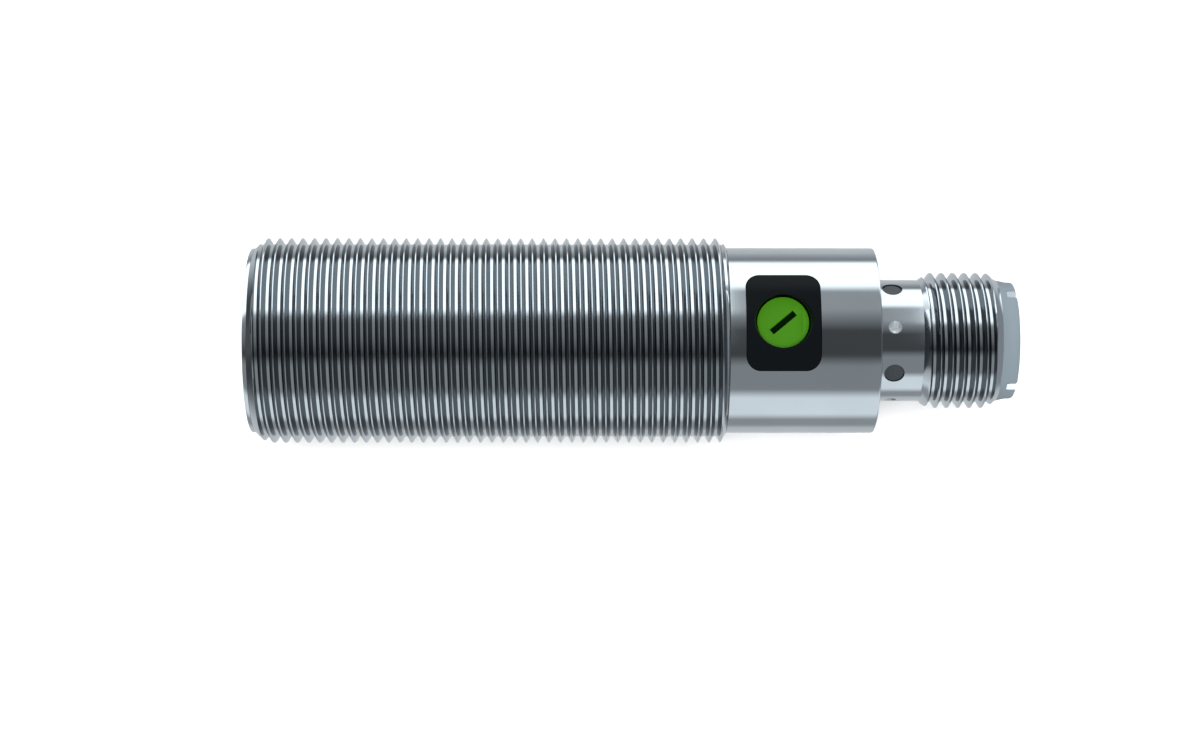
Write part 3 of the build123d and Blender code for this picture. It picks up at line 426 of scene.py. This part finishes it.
def object_noise(tree, scale, detail, stretch=(1, 1, 1)):
    """A noise texture fixed to the piece; scale is in features to the metre."""
    where = tree.nodes.new("ShaderNodeTexCoord")
    mapping = tree.nodes.new("ShaderNodeMapping")
    mapping.inputs["Scale"].default_value = stretch
    noise = tree.nodes.new("ShaderNodeTexNoise")
    noise.inputs["Scale"].default_value = scale
    noise.inputs["Detail"].default_value = detail
    tree.links.new(where.outputs["Object"], mapping.inputs["Vector"])
    tree.links.new(mapping.outputs["Vector"], noise.inputs["Vector"])
    return noise


def placed(tree, group, **values):
    """Places a shader node group in a material, with its own values."""
    node = tree.nodes.new("ShaderNodeGroup")
    node.node_tree = group
    for label, value in values.items():
        node.inputs[label].default_value = value
    return node


def add_math(tree, operation, first, second):
    """A math node between two sockets."""
    node = tree.nodes.new("ShaderNodeMath")
    node.operation = operation
    tree.links.new(first, node.inputs[0])
    tree.links.new(second, node.inputs[1])
    return node.outputs[0]


# Fine rings left by the lathe tool: they run round X and vary only along it.
lathe_rings, ring_in, ring_out = effect_group("lathe_rings", {"Amount": 1.0}, ["Height"])
coarse = object_noise(lathe_rings, 1.0, 3.0, stretch=(9000, 60, 60))
lathe_rings.links.new(
    add_math(lathe_rings, "MULTIPLY", coarse.outputs["Fac"], ring_in.outputs["Amount"]),
    ring_out.inputs["Height"],
)

# Thin grease and finger marks: broad soft patches that dull the gloss.
handling, hand_in, hand_out = effect_group("handling", {"Base": 0.2, "Spread": 0.1}, ["Roughness", "Mask"])
patches = object_noise(handling, 160.0, 4.0)
handling.links.new(
    add_math(
        handling, "ADD", hand_in.outputs["Base"],
        add_math(handling, "MULTIPLY", patches.outputs["Fac"], hand_in.outputs["Spread"]),
    ),
    hand_out.inputs["Roughness"],
)
handling.links.new(patches.outputs["Fac"], hand_out.inputs["Mask"])


def finish(name, tint, roughness, spread, relief, relief_depth, metallic=0.0, tone=0.85, **fixed):
    """A handled surface: two tones of its tint, uneven gloss and a fine relief; fixed sets plain sockets."""
    material = bpy.data.materials.new(name)
    material.use_nodes = True
    tree = material.node_tree
    shader = tree.nodes["Principled BSDF"]
    shader.inputs["Metallic"].default_value = metallic
    for label, value in fixed.items():
        shader.inputs[label.replace("_", " ")].default_value = value
    marks = placed(tree, handling, Base=roughness, Spread=spread)
    tree.links.new(marks.outputs["Roughness"], shader.inputs["Roughness"])
    tones = tree.nodes.new("ShaderNodeMix")
    tones.data_type = "RGBA"
    tones.inputs[MIX_A].default_value = (*tint, 1)
    tones.inputs[MIX_B].default_value = (*[c * tone for c in tint], 1)
    tree.links.new(marks.outputs["Mask"], tones.inputs[0])
    tree.links.new(tones.outputs[MIX_COLOUR], shader.inputs["Base Color"])
    bump = tree.nodes.new("ShaderNodeBump")
    bump.inputs["Strength"].default_value = 0.5
    bump.inputs["Distance"].default_value = relief_depth
    tree.links.new(placed(tree, relief, Amount=1.0).outputs["Height"], bump.inputs["Height"])
    tree.links.new(bump.outputs["Normal"], shader.inputs["Normal"])
    return material


steel = finish("turned_stainless", (0.66, 0.73, 0.78), 0.07, 0.07, lathe_rings, 0.001 * mm, metallic=1.0)
# painted shade: steel that is seen in steel is darkened, so that the thread's flanks read dark between its
# bright roots
steel_tree = steel.node_tree
steel_shader = steel_tree.nodes["Principled BSDF"]
seen_by = steel_tree.nodes.new("ShaderNodeLightPath")
painted_flank_shade = steel_tree.nodes.new("ShaderNodeMix")
painted_flank_shade.data_type = "RGBA"
painted_flank_shade.blend_type = "MULTIPLY"
painted_flank_shade.inputs[MIX_B].default_value = (0.22, 0.22, 0.22, 1)
steel_tree.links.new(seen_by.outputs["Is Glossy Ray"], painted_flank_shade.inputs[0])
steel_tree.links.new(steel_shader.inputs["Base Color"].links[0].from_socket, painted_flank_shade.inputs[MIX_A])
steel_tree.links.new(painted_flank_shade.outputs[MIX_COLOUR], steel_shader.inputs["Base Color"])
sleeve.data.materials.clear()
sleeve.data.materials.append(steel)
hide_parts("threaded_sleeve")
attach(sleeve, "sensor")

# ---------------------------------------------------------------- sensing window
# A disc of dark red optical glass, polished and bevelled, that lets the laser's light out and its echo in.
# It drops into the pocket in the sleeve's nose and is sealed by a rubber ring behind it.

# The fine grain of a spark-eroded mould.
mould_grain, grain_in, grain_out = effect_group("mould_grain", {"Amount": 1.0}, ["Height"])
grain = object_noise(mould_grain, 6000.0, 2.0)
mould_grain.links.new(
    add_math(mould_grain, "MULTIPLY", grain.outputs["Fac"], grain_in.outputs["Amount"]),
    grain_out.inputs["Height"],
)

glass_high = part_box("front_window")[1]
glass_r = glass_high.z
window = new_piece("window", turned_mesh("window", plain_rows([
    (glass_high.x, 0), (glass_high.x, glass_r - edge), (glass_high.x - edge, glass_r),
    (edge, glass_r), (edge * 0.3, glass_r - edge * 0.3), (0, glass_r - edge), (0, 0),
])))
smooth_shading(window)
red_glass = finish(
    "red_filter_glass", (0.30, 0.01, 0.015), 0.03, 0.03, mould_grain, 0.00005 * mm,
    Transmission_Weight=0.75, IOR=1.5, Coat_Weight=0.3,
)
window.data.materials.append(red_glass)
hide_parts("front_window")
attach(window, "sensor")

# ---------------------------------------------------------------- adjuster bezel
# A polished black insert that fills the sleeve's milled window from inside. Its top follows the barrel's
# round, a gland in it holds the screw's seal, and its flange traps the gasket under the wall.

bezel_low, bezel_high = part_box("adjuster_bezel")
bezel_bottom = bezel_low.z
flange_corner = window_corner + 0.5 * mm
flange_r = bore_r - 0.34 * mm           # leaves room for the gasket under the wall
gland_top = 6.15 * mm
gland_bottom = gland_top - 0.7 * mm
gland_r = 1.85 * mm
shaft_hole_r = 1.2 * mm
countersink = 0.35 * mm
bezel_r = body_r - 0.03 * mm
head_r = 4.42 * mm / 2
head_hole_r = head_r + 0.14 * mm
slack = 0.1 * mm                        # all told, between the insert and the milled window


def upright(mesh):
    """Stands a shape turned about X on the adjuster's axis, so its length runs up Z."""
    mesh.transform(Matrix.Translation((window_x, 0, 0)) @ Matrix.Rotation(-pi / 2, 4, "Y"))
    return mesh


def round_bar(name, radius):
    """A bar about the barrel's axis, to cut a piece's top to the barrel's round."""
    start, end = window_x - 12 * mm, window_x + 12 * mm
    return turned_mesh(name, plain_rows([(start, 0), (start, radius), (end, radius), (end, 0)]))


def soften(piece, width, segments):
    """A fine rounded edge, as tumbling or a mould leaves it."""
    rounding = piece.modifiers.new("rounding", "BEVEL")
    rounding.width = width
    rounding.segments = segments
    rounding.limit_method = "ANGLE"
    rounding.angle_limit = radians(35)
    depsgraph = bpy.context.evaluated_depsgraph_get()
    finished = bpy.data.meshes.new_from_object(piece.evaluated_get(depsgraph))
    piece.modifiers.clear()
    piece.data = finished


bezel = new_piece("bezel", rounded_prism(
    "bezel", window_length - slack, window_width - slack, window_corner - slack / 2, window_x,
    bezel_bottom, clear_z,
))
machined(bezel, [("INTERSECT", round_bar("bezel_round", bezel_r))])
soften(bezel, 0.14 * mm, 3)
flange = new_piece("flange", rounded_prism(
    "flange", bezel_high.x - bezel_low.x, bezel_high.y - bezel_low.y, flange_corner, window_x, bezel_bottom,
    clear_z,
))
machined(flange, [("INTERSECT", round_bar("flange_round", flange_r))])
flange_mesh = flange.data
bpy.data.objects.remove(flange)
well_bottom, well_top = bezel_bottom - 1 * mm, body_r + countersink
screw_well = upright(turned_mesh("screw_well", plain_rows([
    (well_bottom, 0), (well_bottom, shaft_hole_r), (gland_bottom, shaft_hole_r), (gland_bottom, gland_r),
    (gland_top, gland_r), (gland_top, head_hole_r), (body_r - countersink, head_hole_r),
    (well_top, head_hole_r + countersink), (well_top, 0),
])))
machined(bezel, [("UNION", flange_mesh), ("DIFFERENCE", screw_well)])
smooth_shading(bezel, (bezel_r,))
gloss_black = finish(
    "polished_black", (0.003, 0.004, 0.005), 0.16, 0.12, mould_grain, 0.0003 * mm, Specular_IOR_Level=0.07,
)
bezel.data.materials.clear()
bezel.data.materials.append(gloss_black)
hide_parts("adjuster_bezel")
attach(bezel, "sensor")

# ---------------------------------------------------------------- adjuster screw
# The sensitivity control: a moulded green screw with a slot for a small driver. It turns through three
# quarters of a turn between its stops, and the blade at its foot turns the trimmer below.

screw_low, screw_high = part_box("adjuster_screw")
head_top = screw_high.z
head_bottom = head_top - 0.9 * mm
shaft_r = 1.15 * mm
shaft_bottom = screw_low.z + 0.6 * mm
clip_bottom = bezel_bottom - 0.32 * mm
clip_top = bezel_bottom - 0.03 * mm
clip_groove_r = 0.85 * mm
slot_turn = radians(40)
slot_length, slot_width, slot_depth = 2.6 * mm, 0.56 * mm, 0.5 * mm
line_length, line_width, line_depth = 1.7 * mm, 0.09 * mm, 0.06 * mm
line_out = 1.6 * mm                     # from the screw's axis
blade_length, blade_width, blade_height = 1.9 * mm, 0.5 * mm, 0.8 * mm


def slot_cutter(name, length, width, bottom, top, offset=0.0, turn=slot_turn):
    """A square-ended cutter across the screw's head."""
    cutter = rounded_prism(name, length, width, 0.02 * mm, 0, bottom, top)
    to_axis = Matrix.Translation((window_x, 0, 0))
    cutter.transform(to_axis @ Matrix.Rotation(turn, 4, "Z") @ Matrix.Translation((offset, 0, 0)))
    return cutter


screw = new_piece("screw", upright(turned_mesh("screw", plain_rows([
    (shaft_bottom, 0), (shaft_bottom, shaft_r), (clip_bottom, shaft_r), (clip_bottom, clip_groove_r),
    (clip_top, clip_groove_r), (clip_top, shaft_r), (head_bottom, shaft_r), (head_bottom, head_r),
    (head_top, head_r), (head_top, 0),
]))))
driver_slot = slot_cutter("driver_slot", slot_length, slot_width, head_top - slot_depth, clear_z)
index_line = slot_cutter(
    "index_line", line_width, line_length, head_top - line_depth, clear_z, offset=line_out, turn=0,
)
blade = slot_cutter("blade", blade_length, blade_width, screw_low.z, screw_low.z + blade_height)
machined(screw, [("DIFFERENCE", driver_slot), ("DIFFERENCE", index_line), ("UNION", blade)])
soften(screw, 0.03 * mm, 2)
smooth_shading(screw)
green = finish(
    "green_moulding", (0.036, 0.155, 0.003), 0.42, 0.14, mould_grain, 0.0012 * mm, tone=0.8,
    Specular_IOR_Level=0.12,
)
# painted shade: the slot is narrow and deep, so its walls and floor are painted darker than the head, for
# the shade that falls in them
slot_painted_shade = finish(
    "slot_painted_shade", (0.0008, 0.006, 0.0006), 0.5, 0.2, mould_grain, 0.001 * mm, Specular_IOR_Level=0.02,
)
screw.data.materials.clear()
screw.data.materials.append(green)
screw.data.materials.append(slot_painted_shade)
# faces inside the driver slot take the darker material, the painted shade
for face in screw.data.polygons:
    centre = face.center - Vector((window_x, 0, 0))
    along_slot = abs(centre.x * cos(slot_turn) + centre.y * sin(slot_turn))
    across_slot = abs(centre.y * cos(slot_turn) - centre.x * sin(slot_turn))
    sunk = head_top - 1.2 * slot_depth < centre.z < head_top - 0.02 * mm
    in_slot = along_slot < slot_length / 2 + 0.1 * mm and across_slot < slot_width / 2 + 0.02 * mm
    face.material_index = 1 if sunk and in_slot else 0
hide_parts("adjuster_screw")
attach(screw, "adjuster")

# ---------------------------------------------------------------- plug shell
# The rear fitting, turned from the same steel and pressed into the sleeve. Four light holes and four
# staking dimples go round its neck, its thread is M12 x 1, and its mouth is notched in four places.

shell_low, shell_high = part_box("connector_shell")
shell_start, shell_end = shell_low.x, shell_high.x
m12_r = 11.86 * mm / 2
neck_r = m12_r - 0.63 * mm
band_r = m12_r - 0.83 * mm
seat_r = rear_bore_r - 0.02 * mm
seat_face = sleeve_end - 0.05 * mm
neck_end = sleeve_end + 3.95 * mm
m12_start = neck_end + 0.9 * mm
m12_end = m12_start + 5.1 * mm
tip_start = m12_end + 0.8 * mm
band_start = tip_start + 0.9 * mm
seal_x = sleeve_end - 1.9 * mm
seal_half = 0.6 * mm
seal_floor_r = rear_bore_r - 0.9 * mm
liner_end = shell_start + 7.2 * mm
liner_r = 4.75 * mm
cup_r = 5.75 * mm
cup_end = shell_start + 1.95 * mm
mouth_r = 8.9 * mm / 2
rim_edge = 0.2 * mm
mouth_edge = 0.04 * mm
light_x = sleeve_end + 1.45 * mm
light_hole_r = 0.875 * mm
dimple_depth = 0.4 * mm
dimple_floor_r, dimple_top_r = 0.28 * mm, 0.72 * mm
notch_width, notch_depth = 0.85 * mm, 0.9 * mm
notch_angles = (39.5, 115.5, 219.5, 295.5)


def shell_blank(along):
    """Radius of the plug's turned blank before its thread is cut."""
    nose = neck_r + (along - neck_end) * (m12_r - neck_r) / (m12_start - neck_end)
    tail = neck_r + (tip_start - along) * (m12_r - neck_r) / (tip_start - m12_end)
    return min(m12_r, nose, tail)


def radial_cutter(name, along, angle, near_r, far_r, near_size, far_size):
    """A round cutter that points out of the barrel; angle runs from +Z towards +Y."""
    cutter = turned_mesh(name, plain_rows([(near_r, 0), (near_r, near_size), (far_r, far_size), (far_r, 0)]))
    outward = Matrix.Rotation(-angle, 4, "X") @ Matrix.Rotation(-pi / 2, 4, "Y")
    cutter.transform(Matrix.Translation((along, 0, 0)) @ outward)
    return cutter


def notch_cutter(name, angle):
    """A square cutter across the mouth's wall."""
    xs = (shell_end - notch_depth, shell_end + notch_depth)
    ys = (-notch_width / 2, notch_width / 2)
    zs = (mouth_r - 1.45 * mm, m12_r + 1.07 * mm)
    verts = [(x, y, z) for x in xs for y in ys for z in zs]
    sides = [(0, 1, 3, 2), (4, 6, 7, 5), (0, 4, 5, 1), (2, 3, 7, 6), (0, 2, 6, 4), (1, 5, 7, 3)]
    cutter = bpy.data.meshes.new(name)
    cutter.from_pydata(verts, [], sides)
    cutter.transform(Matrix.Rotation(-angle, 4, "X"))
    return cutter


shell = new_piece("shell", turned_mesh(
    "shell",
    plain_rows([
        (cup_end, cup_r), (shell_start, cup_r), (shell_start, seat_r - edge), (shell_start + edge, seat_r),
        (seal_x - seal_half, seat_r), (seal_x - seal_half, seal_floor_r), (seal_x + seal_half, seal_floor_r),
        (seal_x + seal_half, seat_r), (seat_face, seat_r), (seat_face, neck_r),
    ]),
    thread_rows(neck_end, tip_start, m12_r, shell_blank),
    plain_rows([
        (band_start, band_r), (shell_end - rim_edge, band_r),
        (shell_end - rim_edge * 0.3, band_r - rim_edge * 0.3), (shell_end, band_r - rim_edge),
        (shell_end, mouth_r + mouth_edge), (shell_end - mouth_edge, mouth_r),
        (liner_end, mouth_r), (liner_end, liner_r), (cup_end, liner_r),
    ]),
))
cuts = []
for quarter in range(4):
    light_hole = radial_cutter(
        "light_hole", light_x, radians(90 * quarter + 45), 3.5 * mm, 7 * mm, light_hole_r, light_hole_r,
    )
    dimple = radial_cutter(
        "dimple", light_x, radians(90 * quarter), neck_r - dimple_depth, neck_r + 0.2 * mm,
        dimple_floor_r, dimple_top_r,
    )
    cuts += [("DIFFERENCE", light_hole), ("DIFFERENCE", dimple)]
for notch_angle in notch_angles:
    cuts.append(("DIFFERENCE", notch_cutter("notch", radians(notch_angle))))
machined(shell, cuts)
smooth_shading(shell, (neck_r, mouth_r, liner_r))
# the taper and rim beyond the thread are bead-blasted; the staking dimples get a paler, less metallic steel,
# a painted highlight that makes them read brighter than the neck
blasted = finish(
    "blasted_stainless", (0.19, 0.235, 0.265), 0.6, 0.12, mould_grain, 0.004 * mm, metallic=0.15,
)
dimple_highlight_paint = finish(
    "dimple_painted_highlight", (0.82, 0.87, 0.90), 0.12, 0.12, mould_grain, 0.002 * mm, metallic=0.82,
)
shell.data.materials.clear()
shell.data.materials.append(steel)
shell.data.materials.append(blasted)
shell.data.materials.append(dimple_highlight_paint)
for face in shell.data.polygons:
    out = sqrt(face.center.y ** 2 + face.center.z ** 2)
    square_on = max(abs(face.center.y), abs(face.center.z)) > 0.95 * out
    sunk = neck_r - dimple_depth - 0.05 * mm < out < neck_r - 0.01 * mm
    if face.center.x > tip_start + 0.1 * mm and out > band_r - 0.25 * mm:
        face.material_index = 1
    # faces inside the staking dimples take the paler steel, the painted highlight
    elif abs(face.center.x - light_x) < 0.9 * mm and sunk and square_on:
        face.material_index = 2
    else:
        face.material_index = 0
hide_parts("connector_shell")
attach(shell, "sensor")

# ---------------------------------------------------------------- plug contacts
# Four brass pins with rounded tips, turned and gold-plated, and pressed through the carrier of black
# glass-filled nylon that keys the plug. The laser's can and leads have the same plating, and the same nylon
# makes the cradle that the boards slide into.

pins_low, pins_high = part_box("contact_pins")
pin_r = 0.5 * mm
tail_r = 0.4 * mm
pin_offset = 2.5 * mm / sqrt(2)
pin_shoulder = shell_start + 3.0 * mm
tip_round = 0.35 * mm
gold = finish("gold_plate", (0.86, 0.62, 0.24), 0.16, 0.10, lathe_rings, 0.001 * mm, metallic=1.0, tone=0.9)
pin_profile = [(pins_low.x, 0), (pins_low.x, tail_r), (pin_shoulder, tail_r), (pin_shoulder, pin_r)]
pin_profile += [
    (pins_high.x - tip_round * (1 - sin(t)), pin_r - tip_round * (1 - cos(t)))
    for t in [step * pi / 12 for step in range(7)]      # a quarter round
]
pin_profile += [(pins_high.x, 0)]
pins = bmesh.new()
for side_y, side_z in ((1, 1), (-1, 1), (-1, -1), (1, -1)):
    one = turned_mesh("pin", plain_rows(pin_profile))
    one.transform(Matrix.Translation((0, side_y * pin_offset, side_z * pin_offset)))
    pins.from_mesh(one)
pins_mesh = bpy.data.meshes.new("pins")
pins.to_mesh(pins_mesh)
pins.free()
pins_mesh.materials.append(gold)
contact_set = new_piece("pins", pins_mesh)
smooth_shading(contact_set)
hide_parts("contact_pins")
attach(contact_set, "sensor")


def finish_node(names, material):
    """Gives CAD nodes whose shape is right their finish."""
    for name in names:
        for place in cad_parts[name].material_slots:
            place.material = material


black_nylon = finish("glass_filled_nylon", (0.022, 0.022, 0.024), 0.42, 0.16, mould_grain, 0.0018 * mm)
finish_node(["contact_carrier", "board_cradle"], black_nylon)
finish_node(["laser_diode", "laser_leads"], gold)

# ---------------------------------------------------------------- light guide
# A ring of smoked polycarbonate, moulded in place inside the plug's neck. Four round studs on it carry the
# indicator lights out through the holes.

smoke = finish(
    "smoked_polycarbonate", (0.024, 0.032, 0.036), 0.2, 0.15, mould_grain, 0.0008 * mm,
    Transmission_Weight=0.15, IOR=1.58,
)
finish_node(["light_guide"], smoke)

# ---------------------------------------------------------------- optics
# A ground and coated lens and a splitter plate sit in a black anodised aluminium barrel, the lens held by a
# ring, with a smoked polarising film in front. The laser is clamped behind them in a seat turned from brass.

clear_glass = finish(
    "coated_glass", (0.90, 0.94, 0.97), 0.02, 0.02, mould_grain, 0.00003 * mm,
    Transmission_Weight=0.9, IOR=1.52,
)
finish_node(["objective_lens", "beam_splitter", "laser_glass"], clear_glass)
anodised = finish("black_anodised", (0.035, 0.035, 0.04), 0.34, 0.14, lathe_rings, 0.002 * mm, metallic=0.8)
finish_node(["optics_barrel", "lens_retainer", "aperture_plate"], anodised)
brass = finish("turned_brass", (0.72, 0.52, 0.22), 0.24, 0.12, lathe_rings, 0.002 * mm, metallic=1.0)
finish_node(["laser_holder", "laser_retainer"], brass)
film = finish(
    "smoked_film", (0.12, 0.11, 0.10), 0.12, 0.08, mould_grain, 0.0002 * mm, Transmission_Weight=0.5,
)
finish_node(["polarising_film"], film)

# ---------------------------------------------------------------- seals and potting
# Moulded nitrile rings and a gasket, squeezed into their grooves, keep water out of every joint. The back of
# the electronics is closed by a plug of black resin, cast in place.

rubber = finish("nitrile_rubber", (0.018, 0.018, 0.018), 0.55, 0.2, mould_grain, 0.002 * mm)
finish_node(["window_seal", "adjuster_seal", "shell_seal", "bezel_gasket"], rubber)
resin = finish("potting_resin", (0.03, 0.03, 0.035), 0.2, 0.25, mould_grain, 0.001 * mm, Coat_Weight=0.3)
finish_node(["potting_plug"], resin)

# ---------------------------------------------------------------- boards and components
# Glass-laminate boards under green solder mask, with moulded chips and fired ceramic parts soldered on. A
# blue trimmer stands under the adjuster's screw, and insulated wires join the boards to the plug's pins.

laminate = finish(
    "solder_mask", (0.02, 0.20, 0.08), 0.28, 0.2, mould_grain, 0.002 * mm, tone=0.6, Coat_Weight=0.3,
)
finish_node(["main_board", "receiver_board", "led_board"], laminate)
epoxy = finish("moulded_epoxy", (0.03, 0.03, 0.033), 0.5, 0.2, mould_grain, 0.003 * mm)
finish_node([
    "controller_chip", "laser_driver_chip", "amplifier_chip", "regulator_chip", "output_transistors",
    "protection_diodes", "chip_resistors", "photodiode", "laser_chip", "trimmer_track",
], epoxy)
ceramic = finish("fired_ceramic", (0.58, 0.44, 0.30), 0.4, 0.2, mould_grain, 0.003 * mm)
finish_node(["ceramic_capacitors"], ceramic)
ferrite = finish("sintered_ferrite", (0.10, 0.10, 0.11), 0.5, 0.2, mould_grain, 0.006 * mm)
finish_node(["choke_coil"], ferrite)
yellow_epoxy = finish("yellow_epoxy", (0.72, 0.46, 0.06), 0.4, 0.2, mould_grain, 0.002 * mm)
finish_node(["tantalum_capacitor"], yellow_epoxy)
stamped = finish("stamped_steel", (0.62, 0.63, 0.65), 0.22, 0.15, mould_grain, 0.001 * mm, metallic=1.0)
finish_node(["clock_crystal", "adjuster_clip", "trimmer_wiper"], stamped)
blue = finish("blue_moulding", (0.02, 0.10, 0.42), 0.35, 0.15, mould_grain, 0.001 * mm)
finish_node(["trimmer_body"], blue)
white = finish("white_moulding", (0.80, 0.79, 0.75), 0.4, 0.15, mould_grain, 0.001 * mm)
finish_node(["trimmer_rotor"], white)
amber = finish("polyimide_film", (0.62, 0.28, 0.03), 0.25, 0.15, mould_grain, 0.0005 * mm)
finish_node(["receiver_flex"], amber)
diffuser = finish("milky_epoxy", (0.82, 0.82, 0.68), 0.3, 0.15, mould_grain, 0.001 * mm)
finish_node(["status_leds"], diffuser)
jacket = finish("red_insulation", (0.45, 0.04, 0.03), 0.45, 0.15, mould_grain, 0.001 * mm)
finish_node(["contact_wires"], jacket)
